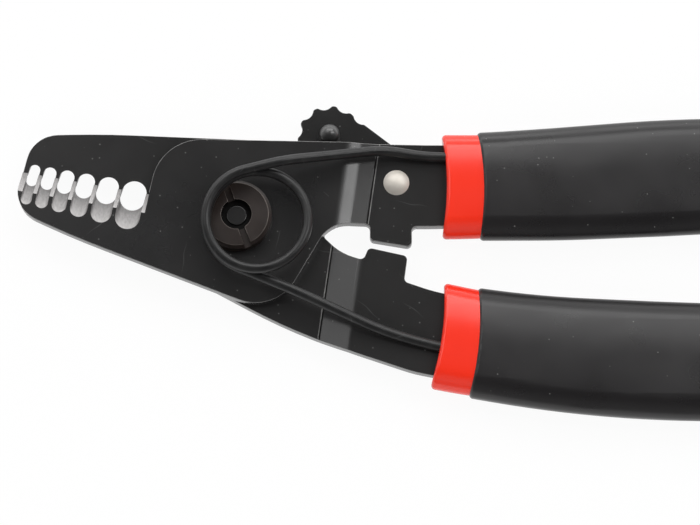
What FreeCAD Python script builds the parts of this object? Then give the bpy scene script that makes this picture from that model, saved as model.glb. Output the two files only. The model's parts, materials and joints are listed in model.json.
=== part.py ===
import FreeCAD, Part
import math
import os

# Plier-type cable jacket stripper, lying on its back, sizes in millimetres.
# X runs from the pivot towards the handles, Y towards the upper handle, Z up from the surface it
# lies on. The origin is on the pivot axis, on the flat outer face of the pivot bolt's head.

# Sheet steel of both blades
sheet = 2.5                 # thickness
blade_gap = 0.04            # running gap on each side of the rear blade
joggle_start = 19.9         # distance from the pivot to the start of the bend
joggle_run = 5.8            # length of the bend, over which the arm moves by half a sheet
joggle_tilt = 8.0           # slant of the bend lines, degrees
steep_run = 2.6             # the front sheet comes down steeply at first
steep_drop = 0.76
bend_radius = 6.0           # rounded side of each bend
knee_radius = 5.0           # between the front sheet's two slopes
crease_radius = 0.6         # sharp side of each bend

# Jaws, measured along the row of notches and away from it
row_tilt = 10.3             # slope of the closed row of notches, degrees
row_offset = 0.75           # the row passes this far above the pivot
close_angle = 3.2           # how far the jaws stand open as drawn, degrees
notch_sizes = (5.0, 4.2, 3.5, 3.0, 2.6, 2.2)
first_notch = 21.55         # from the pivot to the largest notch
notch_land = 0.75           # tooth between neighbouring notches
nose_land = 1.05            # tooth past the smallest notch
tooth_rise = 1.43           # how far each tooth passes the row
bevel_run = 4.5             # width of the ground bevel
edge_land = 0.15            # flat left along the cutting edge
grind_past = 1.5            # the grinding cut runs out of the sheet by this share
tip_height = 6.95           # corner of the jaw's nose
tip_radius = 6.5
spine_reach = 31.3          # where the jaw's back bends a little
spine_height = 10.4
spine_radius = 200.0
heel_reach = 11.2           # front blade's lower corner, behind the pivot
heel_height = 18.7
heel_radius = 9.0
shoulder_x = -15.2          # front blade's upper corner, beside the jaw
shoulder_rise = 1.0         # how much higher it is than the arm
shoulder_radius = 10.0

# Arms between the hub and the handles
arm_top = 15.5              # upper arm
arm_bottom = -0.95
crotch_x = 18.6
crotch_radius = 7.0
tab_left = 26.6             # stop tabs
tab_right = 35.0
lower_tab_right = 34.5
tab_face = -4.3             # height of the upper stop face at its left end
tab_slope = 9.6             # slope of the stop face, degrees
tab_radius = 1.0
stop_gap = 0.05             # left between the stop faces when the jaws are closed
hub_corner = (20.8, 16.1)   # corner of the rear blade's hub, rounded to its rim
hub_radius = 17.0
hub_foot = (17.4, -3.4)
window_corner = (21.0, -6.85)
window_foot = (25.3, -8.4)
window_radius = 12.0
lower_tab_back = (33.4, -12.8)
lower_heel = (8.5, -21.3)   # rear blade's lower edge
lower_waist = (22.2, -26.8)
lower_edge_radius = 120.0
rear_shoulder = (-16.5, -7.7)

# Handles, from the collar's mouth to the end
upper_mouth = (41.0, 7.0)
upper_heading = 0.0
upper_turns = (1.0, 2.0, 1.0, -3.0, -3.0)
lower_mouth = (39.9, -23.6)
lower_heading = -13.0
lower_skew = 5.5            # its mouths are cut at a slant to the handle, degrees
lower_turns = (2.4, 5.0, 3.5, 1.5, 1.0)
collar_length = 7.3         # red sleeve left uncovered
tang_length = 76.0          # from the end of the collar to the end of the tang
first_step = 16.0           # of that, up to the widest place
tang_lead = 3.0             # straight length in front of the mouth
tang_lead_radius = 40.0     # smooths the lower tang into its arm
tang_widths = (16.9, 16.7, 16.2, 15.6, 14.5, 12.5)
sleeve_side = 2.35          # red wall beside the tang
sleeve_face = 2.85          # red wall over the tang
sleeve_end = 2.0            # red wall past the tang's end
grip_covers = (0.4, 1.2, 1.9, 2.2, 2.2)
grip_face = 0.4             # black wall over the red one
grip_end = 8.0              # black wall past the red one
side_radius = 300.0         # smooths the handle's outline from one width to the next
side_round = 0.47           # rounding of its sides, as a share of its height
tang_end_radius = 3.0
grip_end_radius = 8.5
mouth_bow = 1.0             # both mouths curve in by this much
lip_radius = 0.8            # rounded edge of a mouth
sleeve_fit = 0.03

# Pivot
head_height = 2.0
head_radius = 7.0
head_chamfer = 0.5
shoulder_bolt_radius = 3.5
pivot_clearance = 0.03
thread_radius = 2.0
thread_stand = 1.9          # threaded end above the front blade
nut_radius = 7.0
nut_height = 3.0
nut_chamfer = 0.6
nut_recess_radius = 3.05
nut_recess = 1.5
slot_width = 1.35
slot_depth = 1.1
slot_angle = 110.0

# Torsion spring
wire = 2.0
coil_x = 4.15
coil_y = -1.76
coil_radius = 10.1
coil_lift = 0.2             # gap from the nut to the lower turn
turn_gap = 0.06             # gap between neighbouring turns
nut_crossing = 2.5          # half turns from the upper leg to where the wire crosses the nut
coil_start = 104.4          # where the upper leg leaves the coil, degrees
coil_end = 608.0            # where the lower leg leaves it
upper_leg_run = 8.0         # straight from the coil to the first bend of each leg
lower_leg_run = 12.0
upper_leg_bend = (29.5, 13.75, 8.2)
lower_leg_bend = (28.4, -23.1, 7.9)
leg_lead = 3.5              # last bend of each leg, in front of its collar
bend_share = 0.45           # of the shorter run beside a bend, taken by its arc
upper_leg_mouth = 5.6       # where each leg enters its collar, beside the tang's middle
lower_leg_mouth = -2.6
leg_tuck = 4.5              # length of each leg inside its sleeve
leg_gap = 0.15

# Latch
rivet_x = 31.93
rivet_y = 7.6
rivet_radius = 1.6
rivet_head_radius = 2.6
rivet_head_height = 0.9
rivet_tail_radius = 2.5
rivet_tail_height = 0.7
rivet_clearance = 0.04
lever_sheet = 1.5
lever_gap = 0.05
boss_radius = 6.3           # also half the lever's width
head_x = 18.5
knob_radius = 6.5           # over the tips of the scallops
scallop_depth = 0.8
scallop_radius = 2.0
scallop_pitch = 35.0
scallop_first = 64.0
scallop_count = 5
scallop_tip = 0.7           # rounding of the tips between scallops
nick_turn = 18.5            # shallow scallop in the lever's edge, degrees from square to the edge
nick_depth = 0.5
stud_radius = 2.05
stud_shank_radius = 1.2
stud_side = 1.6             # straight side under the dome
stud_gap = 0.2              # from the stud to the blade's edge that stops it
washer_radius = 4.2
washer_height = 0.4

# Heights that follow from the sizes above
rear_low = head_height + blade_gap
slide_low = rear_low + sheet
slide_high = slide_low + blade_gap
front_top = slide_high + sheet
middle = (slide_low + slide_high) / 2
arm_low = middle - sheet / 2
arm_high = middle + sheet / 2
nut_top = front_top + nut_height
lever_top = arm_low - washer_height
lever_low = lever_top - lever_sheet
row_length = sum(notch_sizes) + notch_land * (len(notch_sizes) - 1)
tip_reach = first_notch - notch_sizes[0] / 2 + row_length + nose_land
edge_start = first_notch - notch_sizes[0] / 2 - notch_land
far = 400.0                 # longer than any piece, for cutting tools
side_share = 0.98           # of a side, at most used up by the roundings at its ends


def vector(point, z):
    return FreeCAD.Vector(point[0], point[1], z)


def turned(point, degrees):
    angle = math.radians(degrees)
    x = point[0] * math.cos(angle) - point[1] * math.sin(angle)
    y = point[0] * math.sin(angle) + point[1] * math.cos(angle)
    return (x, y)


def moved(point, heading, along, across):
    step = turned((along, across), heading)
    return (point[0] + step[0], point[1] + step[1])


def corner_arc(before, corner, after, cut):
    # arc that leaves both sides of a corner at the distance cut from it
    back = (before - corner).normalize()
    ahead = (after - corner).normalize()
    half = back.getAngle(ahead) / 2
    inward = (back + ahead).normalize()
    start = corner + back * cut
    end = corner + ahead * cut
    crown = corner + inward * (cut / math.cos(half) - cut * math.tan(half))
    return Part.Arc(start, crown, end).toShape(), start, end


def corner_cuts(corners, points):
    # how far each rounding runs along its sides, less where two of them need the same side
    count = len(points)
    wanted = []
    for i in range(count):
        before = points[i - 1] - points[i]
        after = points[(i + 1) % count] - points[i]
        wanted.append(corners[i][2] / math.tan(before.getAngle(after) / 2))
    cuts = []
    for i in range(count):
        cut = wanted[i]
        for j in (i - 1, (i + 1) % count):
            room = side_share * (points[j] - points[i]).Length
            needed = wanted[i] + wanted[j]
            if needed > room:
                cut = min(cut, wanted[i] * room / needed)
        cuts.append(cut)
    return cuts


def rounded_edges(corners):
    # corners are (x, y, radius); each radius becomes an arc tangent to the two sides beside it
    points = [FreeCAD.Vector(x, y, 0) for x, y, radius in corners]
    count = len(points)
    turns = []
    for i, cut in enumerate(corner_cuts(corners, points)):
        if cut > 0:
            turns.append(corner_arc(points[i - 1], points[i], points[(i + 1) % count], cut))
        else:
            turns.append((None, points[i], points[i]))
    edges = []
    for i, (arc, start, end) in enumerate(turns):
        if arc is not None:
            edges.append(arc)
        edges.append(Part.LineSegment(end, turns[(i + 1) % count][1]).toShape())
    return edges


def outline_face(corners):
    return Part.Face(Part.Wire(rounded_edges(corners)))


def plate(face, low, high):
    solid = face.extrude(FreeCAD.Vector(0, 0, high - low))
    solid.translate(FreeCAD.Vector(0, 0, low))
    return solid


def post(x, y, radius, low, high):
    return Part.makeCylinder(radius, high - low, FreeCAD.Vector(x, y, low))


def turned_piece(profile, x, y):
    # profile is a closed list of edges in the plane of radius and height
    face = Part.Face(Part.Wire(profile))
    solid = face.revolve(FreeCAD.Vector(0, 0, 0), FreeCAD.Vector(0, 0, 1), 360)
    solid.translate(FreeCAD.Vector(x, y, 0))
    return solid


def profile_lines(points):
    loop = [FreeCAD.Vector(radius, 0, z) for radius, z in points]
    return [Part.LineSegment(a, b).toShape() for a, b in zip(loop, loop[1:])]


def row_point(reach, height, side):
    # side is -1 for the front blade, whose jaw lies below the row, and 1 for the rear one
    tilt = row_tilt if side < 0 else row_tilt + close_angle
    return turned((-reach, row_offset + side * height), -tilt)


def row_corner(reach, height, radius, side):
    x, y = row_point(reach, height, side)
    return (x, y, radius)


def jaw_corners(side):
    return [
        row_corner(edge_start, -tooth_rise, 0, side),
        row_corner(tip_reach, -tooth_rise, 0, side),
        row_corner(tip_reach, tip_height, tip_radius, side),
        row_corner(spine_reach, spine_height, spine_radius, side),
    ]


def notch_places():
    places = []
    reach = first_notch
    for i, size in enumerate(notch_sizes):
        if i > 0:
            reach += (notch_sizes[i - 1] + size) / 2 + notch_land
        places.append((reach, size / 2))
    return places


def notch_face(reach, radius, side):
    # round bottom on the row, straight sides out past the teeth
    left = row_point(reach - radius, 0, side)
    right = row_point(reach + radius, 0, side)
    bottom = row_point(reach, radius, side)
    out_left = row_point(reach - radius, -2 * tooth_rise, side)
    out_right = row_point(reach + radius, -2 * tooth_rise, side)
    arc = Part.Arc(vector(left, 0), vector(bottom, 0), vector(right, 0)).toShape()
    sides = [
        Part.LineSegment(vector(right, 0), vector(out_right, 0)).toShape(),
        Part.LineSegment(vector(out_right, 0), vector(out_left, 0)).toShape(),
        Part.LineSegment(vector(out_left, 0), vector(left, 0)).toShape(),
    ]
    return Part.Face(Part.Wire([arc] + sides))


def sharpened(blade, side):
    # notches straight through, then the whole edge ground back at a slant from the sliding face
    slide = slide_high if side < 0 else slide_low
    outward = -side * (sheet - edge_land)
    slant = vector(row_point(0, bevel_run, side), 0) - vector(row_point(0, 0, side), 0)
    slant.z = outward
    beyond = [
        row_corner(edge_start, -tooth_rise, 0, side),
        row_corner(tip_reach + bevel_run, -tooth_rise, 0, side),
        row_corner(tip_reach + bevel_run, -tooth_rise - 2 * bevel_run, 0, side),
        row_corner(edge_start, -tooth_rise - 2 * bevel_run, 0, side),
    ]
    grounds = [outline_face(beyond)]
    for reach, radius in notch_places():
        notch = notch_face(reach, radius, side)
        blade = blade.cut(plate(notch, slide - 2 * sheet, slide + 2 * sheet))
        grounds.append(notch)
    for face in grounds:
        face.translate(FreeCAD.Vector(0, 0, slide - side * edge_land))
        blade = blade.cut(face.extrude(slant * grind_past))
    return blade


def joggled_sheet(side):
    # the sheet's section along its length, rounded outside and creased inside, swept across;
    # each bend is its place, its rise and the radius on the upper and on the lower face
    bend_end = joggle_start + joggle_run
    if side < 0:
        low, high = slide_high, front_top
        bends = [
            (joggle_start, 0, bend_radius, crease_radius),
            (joggle_start + steep_run, -steep_drop, knee_radius, knee_radius),
            (bend_end, arm_low - low, crease_radius, bend_radius),
        ]
    else:
        low, high = rear_low, slide_low
        bends = [
            (joggle_start, 0, crease_radius, bend_radius),
            (bend_end, arm_low - low, bend_radius, crease_radius),
        ]
    corners = [(-far, high, 0), (-far, low, 0)]
    for along, rise, above, below in bends:
        corners.append((along, low + rise, below))
    corners = corners + [(far, arm_low, 0), (far, arm_high, 0)]
    for along, rise, above, below in reversed(bends):
        corners.append((along, high + rise, above))
    face = outline_face(corners)
    face.rotate(FreeCAD.Vector(0, 0, 0), FreeCAD.Vector(1, 0, 0), 90)
    face.translate(FreeCAD.Vector(0, far, 0))
    solid = face.extrude(FreeCAD.Vector(0, -2 * far, 0))
    solid.rotate(FreeCAD.Vector(0, 0, 0), FreeCAD.Vector(0, 0, 1), -joggle_tilt)
    return solid


def stop_point(x, clearance):
    return (x, tab_face - clearance - (x - tab_left) * math.tan(math.radians(tab_slope)))


def handle_stations(mouth, heading, turns):
    # points down the middle of a handle with the heading at each, from its mouth to the tang's end
    later_count = len(turns) - 2
    later_step = (tang_length - first_step) / later_count
    lengths = [collar_length, first_step] + [later_step] * later_count
    stations = [(mouth, heading)]
    for length, turn in zip(lengths, turns):
        mouth = moved(mouth, heading + turn / 2, length, 0)
        heading += turn
        stations.append((mouth, heading))
    return stations


upper_stations = handle_stations(upper_mouth, upper_heading, upper_turns)
lower_stations = handle_stations(lower_mouth, lower_heading, lower_turns)


def tang_corners(stations, grow, lead_radius=0):
    left = []
    right = []
    places = [past_end(stations[0], -tang_lead)] + stations[1:-1]
    places.append(past_end(stations[-1], grow))
    radii = [lead_radius] + [side_radius] * (len(tang_widths) - 2) + [tang_end_radius]
    for i, width in enumerate(tang_widths):
        point, heading = places[i]
        x, y = moved(point, heading, 0, width / 2 + grow)
        left.append((x, y, radii[i]))
        x, y = moved(point, heading, 0, -width / 2 - grow)
        right.append((x, y, radii[i]))
    return right, left


def front_blade():
    right, left = tang_corners(upper_stations, 0)
    tab_low_left = stop_point(tab_left, 0)
    tab_low_right = stop_point(tab_right, 0)
    corners = jaw_corners(-1) + [
        row_corner(-heel_reach, heel_height, heel_radius, -1),
        (crotch_x, arm_bottom, crotch_radius),
        (tab_left, arm_bottom, tab_radius),
        (tab_low_left[0], tab_low_left[1], tab_radius),
        (tab_low_right[0], tab_low_right[1], tab_radius),
        (tab_right, right[0][1], tab_radius),
    ] + right + left[::-1] + [(shoulder_x, arm_top + shoulder_rise, shoulder_radius)]
    body = plate(outline_face(corners), 0, nut_top).common(joggled_sheet(-1))
    body = sharpened(body, -1)
    bore = shoulder_bolt_radius + pivot_clearance
    body = body.cut(post(0, 0, bore, 0, nut_top))
    return body.cut(post(rivet_x, rivet_y, rivet_radius + rivet_clearance, 0, nut_top))


def rear_blade():
    right, left = tang_corners(lower_stations, 0, tang_lead_radius)
    tab_high_left = turned(stop_point(tab_left, stop_gap), -close_angle)
    tab_high_right = turned(stop_point(lower_tab_right, stop_gap), -close_angle)
    corners = jaw_corners(1) + [
        (hub_corner[0], hub_corner[1], hub_radius),
        (hub_foot[0], hub_foot[1], tab_radius),
        (window_corner[0], window_corner[1], window_radius),
        (window_foot[0], window_foot[1], tab_radius),
        (tab_high_left[0], tab_high_left[1], tab_radius),
        (tab_high_right[0], tab_high_right[1], tab_radius),
        (lower_tab_back[0], lower_tab_back[1], tab_radius),
    ] + left + right[::-1] + [
        (lower_waist[0], lower_waist[1], lower_edge_radius),
        (lower_heel[0], lower_heel[1], lower_edge_radius),
        (rear_shoulder[0], rear_shoulder[1], shoulder_radius),
    ]
    body = plate(outline_face(corners), 0, nut_top).common(joggled_sheet(1))
    body = sharpened(body, 1)
    bore = shoulder_bolt_radius + pivot_clearance
    return body.cut(post(0, 0, bore, 0, nut_top))


def past_end(station, length):
    point, heading = station
    return (moved(point, heading, length, 0), heading)


def handle_body(stations, widths, height, end_radius):
    # flat bar along the stations with rounded ends, its sides rounded almost to half circles
    right = []
    left = []
    for i, (point, heading) in enumerate(stations):
        radius = end_radius if i in (0, len(stations) - 1) else side_radius
        x, y = moved(point, heading, 0, -widths[i] / 2)
        right.append((x, y, radius))
        x, y = moved(point, heading, 0, widths[i] / 2)
        left.append((x, y, radius))
    bar = plate(outline_face(right + left[::-1]), middle - height / 2, middle + height / 2)
    rims = [edge for edge in bar.Edges if edge.BoundBox.ZLength < sleeve_fit]
    return bar.makeFillet(side_round * height, rims)


def sleeve_body(stations, grow):
    # cut off square past the tang's end
    height = sheet + 2 * (sleeve_face + grow)
    places = [past_end(stations[0], -first_step)] + stations + [past_end(stations[-1], first_step)]
    widths = []
    for width in tang_widths[:1] + tang_widths + tang_widths[-1:]:
        widths.append(width + 2 * (sleeve_side + grow))
    bar = handle_body(places, widths, height, grip_end_radius)
    point, heading = past_end(stations[-1], sleeve_end + grow)
    corners = []
    for along, across in ((0, -far), (far, -far), (far, far), (0, far)):
        x, y = moved(point, heading, along, across)
        corners.append((x, y, 0))
    return bar.cut(plate(outline_face(corners), -far, far))


def edges_on_cylinders(solid, radius):
    edges = []
    for face in solid.Faces:
        surface = face.Surface
        if surface.TypeId == "Part::GeomCylinder" and abs(surface.Radius - radius) < sleeve_fit:
            edges = edges + face.OuterWire.Edges
    return edges


def bowed(solid, station, skew, half_width):
    # cuts a mouth that curves in at its middle, and rounds its outer edge
    point, heading = station
    radius = half_width ** 2 / (2 * mouth_bow)
    x, y = moved(point, heading + skew, mouth_bow - radius, 0)
    cutter = post(x, y, radius, -far, far)
    cutter.rotate(FreeCAD.Vector(x, y, 0), FreeCAD.Vector(0, 0, 1), 180)
    solid = solid.cut(cutter)
    return solid.makeFillet(lip_radius, edges_on_cylinders(solid, radius))


def leg_channel(point, heading, height):
    start = moved(point, heading, -collar_length, 0)
    direction = vector(turned((1, 0), heading), 0)
    radius = wire / 2 + leg_gap
    return Part.makeCylinder(radius, collar_length + leg_tuck + leg_gap, vector(start, height), direction)


def sleeve(stations, skew, leg_mouth):
    solid = bowed(sleeve_body(stations, 0), stations[0], skew, tang_widths[0] / 2 + sleeve_side)
    right, left = tang_corners(stations, sleeve_fit)
    pocket = outline_face(right + left[::-1])
    solid = solid.cut(plate(pocket, arm_low - sleeve_fit, arm_high + sleeve_fit))
    point, heading = stations[0]
    entry = moved(point, heading, 0, leg_mouth)
    return solid.cut(leg_channel(entry, heading, leg_height()))


def grip(stations, skew):
    height = sheet + 2 * (sleeve_face + grip_face)
    places = [past_end(stations[1], -first_step)] + stations[1:-1]
    places.append(past_end(stations[-1], sleeve_end + grip_end))
    widths = []
    for width, cover in zip(tang_widths[1:2] + tang_widths[1:], grip_covers[:1] + grip_covers):
        widths.append(width + 2 * (sleeve_side + cover))
    solid = handle_body(places, widths, height, grip_end_radius)
    solid = bowed(solid, stations[1], skew, widths[0] / 2)
    return solid.cut(sleeve_body(stations, sleeve_fit))


def pivot_bolt():
    edge = head_radius - head_chamfer
    profile = profile_lines([
        (0, 0), (edge, 0), (head_radius, head_chamfer), (head_radius, head_height),
        (shoulder_bolt_radius, head_height), (shoulder_bolt_radius, front_top),
        (thread_radius, front_top), (thread_radius, front_top + thread_stand),
        (0, front_top + thread_stand), (0, 0),
    ])
    return turned_piece(profile, 0, 0)


def pivot_nut():
    recess = nut_top - nut_recess
    hole = thread_radius + pivot_clearance
    profile = profile_lines([
        (hole, front_top), (nut_radius, front_top), (nut_radius, nut_top - nut_chamfer),
        (nut_radius - nut_chamfer, nut_top), (nut_recess_radius, nut_top),
        (nut_recess_radius, recess), (hole, recess), (hole, front_top),
    ])
    nut = turned_piece(profile, 0, 0)
    slot = Part.makeBox(2 * nut_radius, slot_width, slot_depth)
    slot.translate(FreeCAD.Vector(-nut_radius, -slot_width / 2, nut_top - slot_depth))
    slot.rotate(FreeCAD.Vector(0, 0, 0), FreeCAD.Vector(0, 0, 1), slot_angle)
    return nut.cut(slot)


def leg_height():
    return arm_high + wire / 2 + leg_gap


def coil_arc(start, angle, sweep, drop):
    # part of a half turn that begins level at start and, when whole, ends level and lower by drop
    centre = FreeCAD.Vector(coil_x, coil_y, start.z - drop / 2)
    spoke = start - centre
    level = vector(turned((0, spoke.Length), angle), 0)
    points = []
    for share in (0.5, 1.0):
        turn = math.radians(sweep * share)
        points.append(centre + spoke * math.cos(turn) + level * math.sin(turn))
    heading = (level * math.cos(turn) - spoke * math.sin(turn)).normalize()
    return Part.Arc(start, points[0], points[1]).toShape(), points[1], heading


def coil_edges():
    # half turns that wind down from the upper leg to the lower one
    drop = (wire + turn_gap) / 2
    start_z = nut_top + coil_lift + wire / 2 + nut_crossing * drop
    x, y = moved((coil_x, coil_y), coil_start, coil_radius, 0)
    first = FreeCAD.Vector(x, y, start_z)
    edges = []
    angle = coil_start
    point = first
    while angle < coil_end:
        sweep = min(180.0, coil_end - angle)
        edge, point, heading = coil_arc(point, angle, sweep, drop)
        edges.append(edge)
        angle += sweep
    return edges, first, point, heading


def leg_edges(points):
    # straight runs with an arc at each bend
    edges = []
    run_start = points[0]
    for before, bend, after in zip(points, points[1:], points[2:]):
        cut = bend_share * min((before - bend).Length, (after - bend).Length)
        arc, start, end = corner_arc(before, bend, after, cut)
        edges.append(Part.LineSegment(run_start, start).toShape())
        edges.append(arc)
        run_start = end
    edges.append(Part.LineSegment(run_start, points[-1]).toShape())
    return edges


def leg_point(station, leg_mouth, along):
    point, heading = station
    return vector(moved(point, heading, along, leg_mouth), leg_height())


def torsion_spring():
    # round wire from the upper sleeve round the coil to the lower sleeve
    coil, first, last, heading = coil_edges()
    leaving = vector(turned((0, -1), coil_start), 0)
    upper = [
        first, first + leaving * upper_leg_run, FreeCAD.Vector(*upper_leg_bend),
        leg_point(upper_stations[0], upper_leg_mouth, -leg_lead),
        leg_point(upper_stations[0], upper_leg_mouth, leg_tuck),
    ]
    lower = [
        last, last + heading * lower_leg_run, FreeCAD.Vector(*lower_leg_bend),
        leg_point(lower_stations[0], lower_leg_mouth, -leg_lead),
        leg_point(lower_stations[0], lower_leg_mouth, leg_tuck),
    ]
    path = Part.Wire(leg_edges(upper[::-1]) + coil + leg_edges(lower))
    section = Part.Wire(Part.makeCircle(wire / 2, upper[-1], upper[-2] - upper[-1]))
    return path.makePipe(Part.Face(section))


def stud_place():
    # beside the front blade's upper edge, which rises from the collar to the shoulder
    right, left = tang_corners(upper_stations, 0)
    share = (left[0][0] - head_x) / (left[0][0] - shoulder_x)
    edge = left[0][1] + share * (arm_top + shoulder_rise - left[0][1])
    return (head_x, edge + stud_radius + stud_gap)


def scalloped(lever, knob):
    # scallops round the knob, with round tips that stop short of meeting each other, and a
    # shallow one in the lever's edge beside them
    reach = knob_radius - scallop_depth + scallop_radius
    square = math.degrees(math.atan2(rivet_x - knob[0], knob[1] - rivet_y))
    nick_reach = (boss_radius - nick_depth + scallop_radius) / math.cos(math.radians(nick_turn))
    places = [moved(knob, square - nick_turn, nick_reach, 0)]
    for i in range(scallop_count):
        places.append(moved(knob, scallop_first + i * scallop_pitch, reach, 0))
    for x, y in places:
        lever = lever.cut(post(x, y, scallop_radius, lever_low, lever_top))
    span = reach * math.cos(math.radians(scallop_pitch / 2))
    room = knob_radius ** 2 + reach ** 2 - 2 * knob_radius * span - scallop_radius ** 2
    meeting = room / (2 * (scallop_radius + knob_radius - span))
    edges = []
    for edge in edges_on_cylinders(lever, scallop_radius):
        if edge.BoundBox.ZLength > sleeve_fit:
            edges.append(edge)
    return lever.makeFillet(min(scallop_tip, side_share * meeting), edges)


def latch_lever():
    knob = stud_place()
    along = FreeCAD.Vector(rivet_x - knob[0], rivet_y - knob[1], 0)
    side = FreeCAD.Vector(-along.y, along.x, 0).normalize() * boss_radius
    boss = FreeCAD.Vector(rivet_x, rivet_y, 0)
    head = vector(knob, 0)
    strip_points = [head + side, head - side, boss - side, boss + side, head + side]
    strip = plate(Part.Face(Part.makePolygon(strip_points)), lever_low, lever_top)
    lever = post(knob[0], knob[1], knob_radius, lever_low, lever_top)
    lever = lever.fuse([strip, post(rivet_x, rivet_y, boss_radius, lever_low, lever_top)])
    lever = scalloped(lever.removeSplitter(), knob)
    lever = lever.cut(post(rivet_x, rivet_y, rivet_radius + rivet_clearance, lever_low, lever_top))
    hole = stud_shank_radius + rivet_clearance
    return lever.cut(post(knob[0], knob[1], hole, lever_low, lever_top))


def domed_profile(lines, radius, low, height):
    # closes a profile that ends at the dome's edge with an arc up to the axis
    sphere = (radius ** 2 + height ** 2) / (2 * height)
    half = math.asin(min(1.0, radius / sphere)) / 2
    centre = low + height - sphere
    middle_point = (sphere * math.sin(half), centre + sphere * math.cos(half))
    arc = Part.Arc(
        FreeCAD.Vector(radius, 0, low),
        FreeCAD.Vector(middle_point[0], 0, middle_point[1]),
        FreeCAD.Vector(0, 0, low + height),
    ).toShape()
    axis = Part.LineSegment(FreeCAD.Vector(0, 0, low + height), FreeCAD.Vector(0, 0, lines[0][1]))
    return profile_lines(lines) + [arc, axis.toShape()]


def latch_stud():
    x, y = stud_place()
    side_top = lever_top + stud_side
    lines = [
        (0, lever_low), (stud_shank_radius, lever_low), (stud_shank_radius, lever_top),
        (stud_radius, lever_top), (stud_radius, side_top),
    ]
    return turned_piece(domed_profile(lines, stud_radius, side_top, stud_radius), x, y)


def latch_rivet():
    tail_top = lever_low - lever_gap
    lines = [
        (0, tail_top - rivet_tail_height), (rivet_tail_radius, tail_top - rivet_tail_height),
        (rivet_tail_radius, tail_top), (rivet_radius, tail_top), (rivet_radius, arm_high),
        (rivet_head_radius, arm_high),
    ]
    profile = domed_profile(lines, rivet_head_radius, arm_high, rivet_head_height)
    return turned_piece(profile, rivet_x, rivet_y)


def latch_washer():
    ring = post(rivet_x, rivet_y, washer_radius, lever_top + lever_gap, arm_low)
    hole = post(rivet_x, rivet_y, rivet_radius + rivet_clearance, lever_low, arm_high)
    return ring.cut(hole)


pieces = {
    "front_blade": front_blade(),
    "rear_blade": rear_blade(),
    "pivot_bolt": pivot_bolt(),
    "pivot_nut": pivot_nut(),
    "torsion_spring": torsion_spring(),
    "latch_lever": latch_lever(),
    "latch_stud": latch_stud(),
    "latch_rivet": latch_rivet(),
    "latch_washer": latch_washer(),
    "upper_sleeve": sleeve(upper_stations, 0, upper_leg_mouth),
    "lower_sleeve": sleeve(lower_stations, lower_skew, lower_leg_mouth),
    "upper_grip": grip(upper_stations, 0),
    "lower_grip": grip(lower_stations, lower_skew),
}

os.makedirs("parts", exist_ok=True)
for name, shape in pieces.items():
    shape.exportStep("parts/" + name + ".step")
    print(name, len(shape.Solids), round(shape.Volume, 2), shape.isValid())
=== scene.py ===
import bpy
import bmesh
import json
import math
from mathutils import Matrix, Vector, noise


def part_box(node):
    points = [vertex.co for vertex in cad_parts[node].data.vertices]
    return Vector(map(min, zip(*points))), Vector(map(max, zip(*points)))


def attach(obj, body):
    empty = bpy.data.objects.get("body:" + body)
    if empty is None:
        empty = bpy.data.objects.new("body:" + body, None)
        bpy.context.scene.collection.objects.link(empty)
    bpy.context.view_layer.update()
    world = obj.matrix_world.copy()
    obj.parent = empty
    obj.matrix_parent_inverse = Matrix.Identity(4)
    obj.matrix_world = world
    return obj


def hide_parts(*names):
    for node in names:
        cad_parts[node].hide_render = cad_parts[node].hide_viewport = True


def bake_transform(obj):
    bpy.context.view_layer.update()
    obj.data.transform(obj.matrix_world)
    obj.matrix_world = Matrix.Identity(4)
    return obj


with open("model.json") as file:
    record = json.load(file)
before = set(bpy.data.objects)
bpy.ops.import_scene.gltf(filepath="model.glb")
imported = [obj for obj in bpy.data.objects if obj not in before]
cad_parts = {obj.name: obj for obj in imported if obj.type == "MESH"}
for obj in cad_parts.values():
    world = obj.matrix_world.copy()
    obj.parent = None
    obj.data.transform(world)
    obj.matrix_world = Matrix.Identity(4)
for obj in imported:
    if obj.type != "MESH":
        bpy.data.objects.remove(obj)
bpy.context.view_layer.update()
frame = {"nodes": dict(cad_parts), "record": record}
mm = 0.001                                  # sizes below are in millimetres
record = frame["record"]
bodyOf = {node: body for body, nodes in record["behaviour"]["bodies"].items() for node in nodes}
print("frame loaded,", len(frame["nodes"]), "nodes")


# small helpers

def takeOnly(piece):
    bpy.ops.object.select_all(action="DESELECT")
    piece.select_set(True)
    bpy.context.view_layer.objects.active = piece


def addNode(tree, kind, values=None, **settings):
    made = tree.nodes.new(kind)
    for name, value in settings.items():
        setattr(made, name, value)
    for socket, value in (values or {}).items():
        made.inputs[socket].default_value = value
    return made


def join(tree, source, target):
    tree.links.new(source, target)


def newGroup(name, inputs, output):
    group = bpy.data.node_groups.new(name, "ShaderNodeTree")
    group.interface.new_socket(name="Vector", in_out="INPUT", socket_type="NodeSocketVector")
    for socket, value in inputs.items():
        made = group.interface.new_socket(
            name=socket, in_out="INPUT", socket_type="NodeSocketFloat")
        made.default_value = value
    group.interface.new_socket(name=output, in_out="OUTPUT", socket_type="NodeSocketFloat")
    return group, addNode(group, "NodeGroupInput"), addNode(group, "NodeGroupOutput")


# shared effects

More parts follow.
